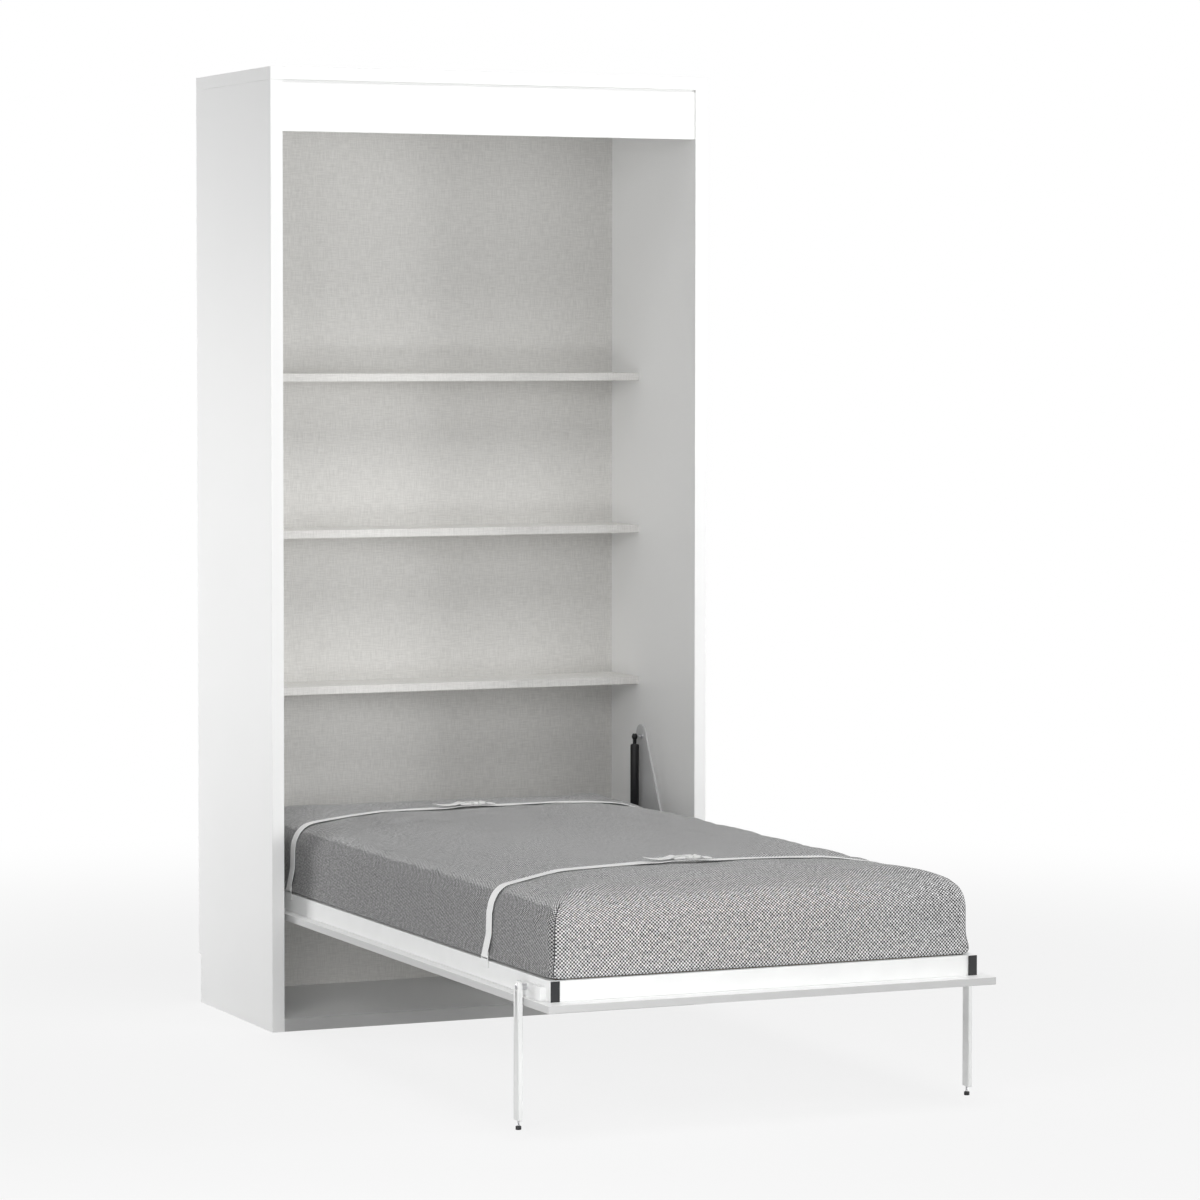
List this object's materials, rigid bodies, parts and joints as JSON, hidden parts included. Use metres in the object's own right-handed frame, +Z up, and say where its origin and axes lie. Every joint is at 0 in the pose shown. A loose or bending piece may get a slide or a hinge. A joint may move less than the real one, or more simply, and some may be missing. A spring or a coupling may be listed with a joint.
{
  "type": "cabinet bed",
  "caption": "Upright cabinet bed: an open shelf cabinet with a panel that hinges down on gas struts, carrying a frame and a strapped mattress, and stands on folding legs.",
  "frame": {"origin": "middle of the cabinet's base, on the floor", "axes": "+X to the right as seen from the foot of the bed, +Y towards the wall behind the cabinet, +Z up; the bed is stored let down, its foot towards -Y"},
  "size_m": [1.116, 2.0735, 2.25],
  "materials": {
    "white_board": "satin white board, edges banded in white",
    "back_linen": "board with a linen-textured grey-beige face",
    "beech": "plain beech",
    "white_steel": "white powder coat, semi-gloss",
    "grey_steel": "grey powder coat",
    "black_steel": "black gloss coat",
    "bright_steel": "zinc-plated or ground steel",
    "black_plastic": "moulded black plastic",
    "nylon": "moulded dark nylon",
    "mattress_cover": "pepper-and-salt woven cover",
    "webbing": "white woven webbing",
    "buckle_plastic": "moulded white plastic"
  },
  "bodies": {
    "cabinet": {"back_panel": "back_linen", "deck_panel": "white_board", "header_panel": "white_board", "top_panel": "white_board", "side_panel_left": "white_board", "side_panel_right": "white_board", "shelf_lower": "back_linen", "shelf_middle": "back_linen", "shelf_upper": "back_linen", "wall_rail_lower": "white_board", "wall_rail_upper": "white_board", "panel_tongues": "beech", "shelf_tongues": "beech", "lift_plate_left": "grey_steel", "lift_plate_right": "grey_steel", "lift_plate_screws": "bright_steel", "pivot_pins": "bright_steel", "top_ball_studs": "bright_steel"},
    "bed": {"door_panel": "white_board", "side_rail_left": "white_steel", "side_rail_right": "white_steel", "foot_rail": "white_steel", "head_rail": "white_steel", "centre_rail": "white_steel", "rail_end_caps": "black_plastic", "slats": "beech", "slat_holders": "nylon", "panel_brackets": "white_steel", "panel_screws": "bright_steel", "lift_arm_left": "white_steel", "lift_arm_right": "white_steel", "pivot_bushes": "nylon", "lower_strut_studs": "bright_steel", "leg_brackets": "white_steel", "leg_bolts": "bright_steel", "leg_nuts": "bright_steel", "strap_anchors": "white_steel", "strap_foot": "webbing", "strap_head": "webbing", "strap_buckles": "buckle_plastic", "mattress": "mattress_cover"},
    "leg_left": {"leg_left": "white_steel", "levelling_foot_left": "black_plastic"},
    "leg_right": {"leg_right": "white_steel", "levelling_foot_right": "black_plastic"},
    "strut_body_left": {"strut_cylinder_left": "black_steel"},
    "strut_body_right": {"strut_cylinder_right": "black_steel"},
    "strut_rod_left": {"strut_rod_left": "bright_steel"},
    "strut_rod_right": {"strut_rod_right": "bright_steel"}
  },
  "joints": [
    {"name": "bed_fold", "type": "hinge", "parent": "cabinet", "child": "bed", "pos_m": [0, -0.1155, 0.409], "axis": [-1, 0, 0], "range_deg": [0, 90]},
    {"name": "leg_fold_left", "type": "hinge", "parent": "bed", "child": "leg_left", "pos_m": [-0.52245, -1.666, 0.29475], "axis": [1, 0, 0], "range_deg": [0, 90]},
    {"name": "strut_swing_left", "type": "hinge", "parent": "cabinet", "child": "strut_body_left", "pos_m": [-0.504, 0.032, 0.631], "axis": [-1, 0, 0], "range_deg": [0, 35.1]},
    {"name": "strut_slide_left", "type": "slide", "parent": "strut_body_left", "child": "strut_rod_left", "axis": [0, 0, -1], "range_m": [0, 0.1176]},
    {"name": "leg_fold_right", "type": "hinge", "parent": "bed", "child": "leg_right", "pos_m": [0.52245, -1.666, 0.29475], "axis": [1, 0, 0], "range_deg": [0, 90]},
    {"name": "strut_swing_right", "type": "hinge", "parent": "cabinet", "child": "strut_body_right", "pos_m": [0.504, 0.032, 0.631], "axis": [-1, 0, 0], "range_deg": [0, 35.1]},
    {"name": "strut_slide_right", "type": "slide", "parent": "strut_body_right", "child": "strut_rod_right", "axis": [0, 0, -1], "range_m": [0, 0.1176]}
  ],
  "couplings": [
    {"joint": "strut_swing_left", "follows": "bed_fold", "ratio": 0.38978},
    {"joint": "strut_slide_left", "follows": "bed_fold", "m_per_rad": 0.074816},
    {"joint": "strut_swing_right", "follows": "bed_fold", "ratio": 0.38978},
    {"joint": "strut_slide_right", "follows": "bed_fold", "m_per_rad": 0.074816}
  ]
}
